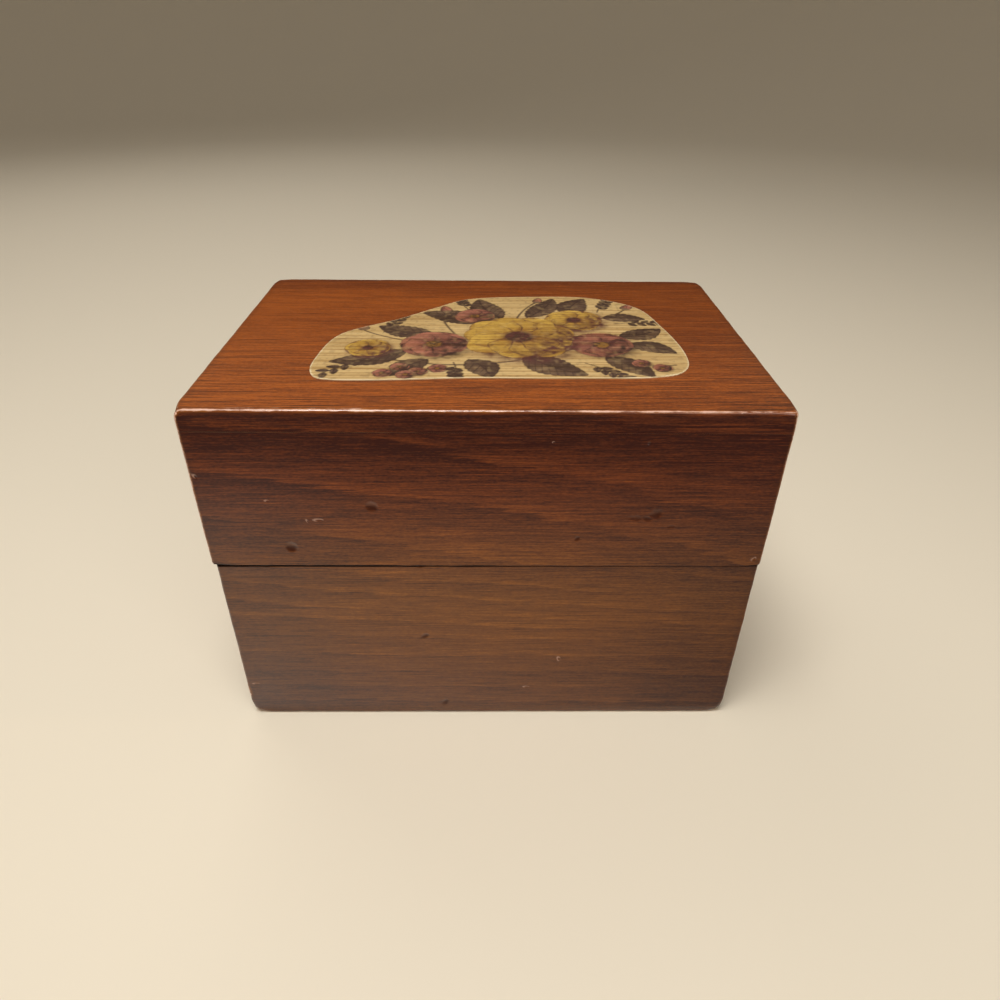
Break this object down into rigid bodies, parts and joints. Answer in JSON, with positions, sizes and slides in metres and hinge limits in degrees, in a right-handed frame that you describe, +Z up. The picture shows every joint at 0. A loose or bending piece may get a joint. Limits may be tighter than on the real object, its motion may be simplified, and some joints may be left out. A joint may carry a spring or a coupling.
{
  "type": "recipe card box",
  "caption": "Small rebated wooden box for recipe cards, with a deep lid on brass butt hinges at the back and a glued cut-out print on top.",
  "frame": {"origin": "on the underside of the bottom panel, below the middle of the lid's plan, where the box rests", "axes": "+Z up, +X to the right as seen from the front, the front towards -Y and the hinges at +Y"},
  "size_m": [0.147, 0.1048, 0.1049],
  "materials": {
    "stained_wood": "red-brown stain under satin lacquer, grain along the board",
    "top_wood": "the same stain and lacquer, rubbed lighter on top",
    "bottom_panel": "thin bare panel",
    "print": "paper print under varnish, cream ground",
    "hinge_brass": "dulled stamped brass",
    "nail_brass": "dulled round-head nails"
  },
  "bodies": {
    "base": {"base_front_board": "stained_wood", "base_back_board": "stained_wood", "base_left_board": "stained_wood", "base_right_board": "stained_wood", "base_bottom_panel": "bottom_panel", "left_hinge_base_leaf": "hinge_brass", "right_hinge_base_leaf": "hinge_brass", "left_hinge_pin": "hinge_brass", "right_hinge_pin": "hinge_brass", "base_hinge_nails": "nail_brass"},
    "lid": {"lid_front_board": "stained_wood", "lid_back_board": "stained_wood", "lid_left_board": "stained_wood", "lid_right_board": "stained_wood", "lid_top_board": "top_wood", "lid_print": "print", "left_hinge_lid_leaf": "hinge_brass", "right_hinge_lid_leaf": "hinge_brass", "lid_hinge_nails": "nail_brass"}
  },
  "joints": [
    {"name": "lid_hinge", "type": "hinge", "parent": "base", "child": "lid", "pos_m": [0, 0.0524, 0.05835], "axis": [-1, 0, 0], "range_deg": [0, 180]}
  ]
}
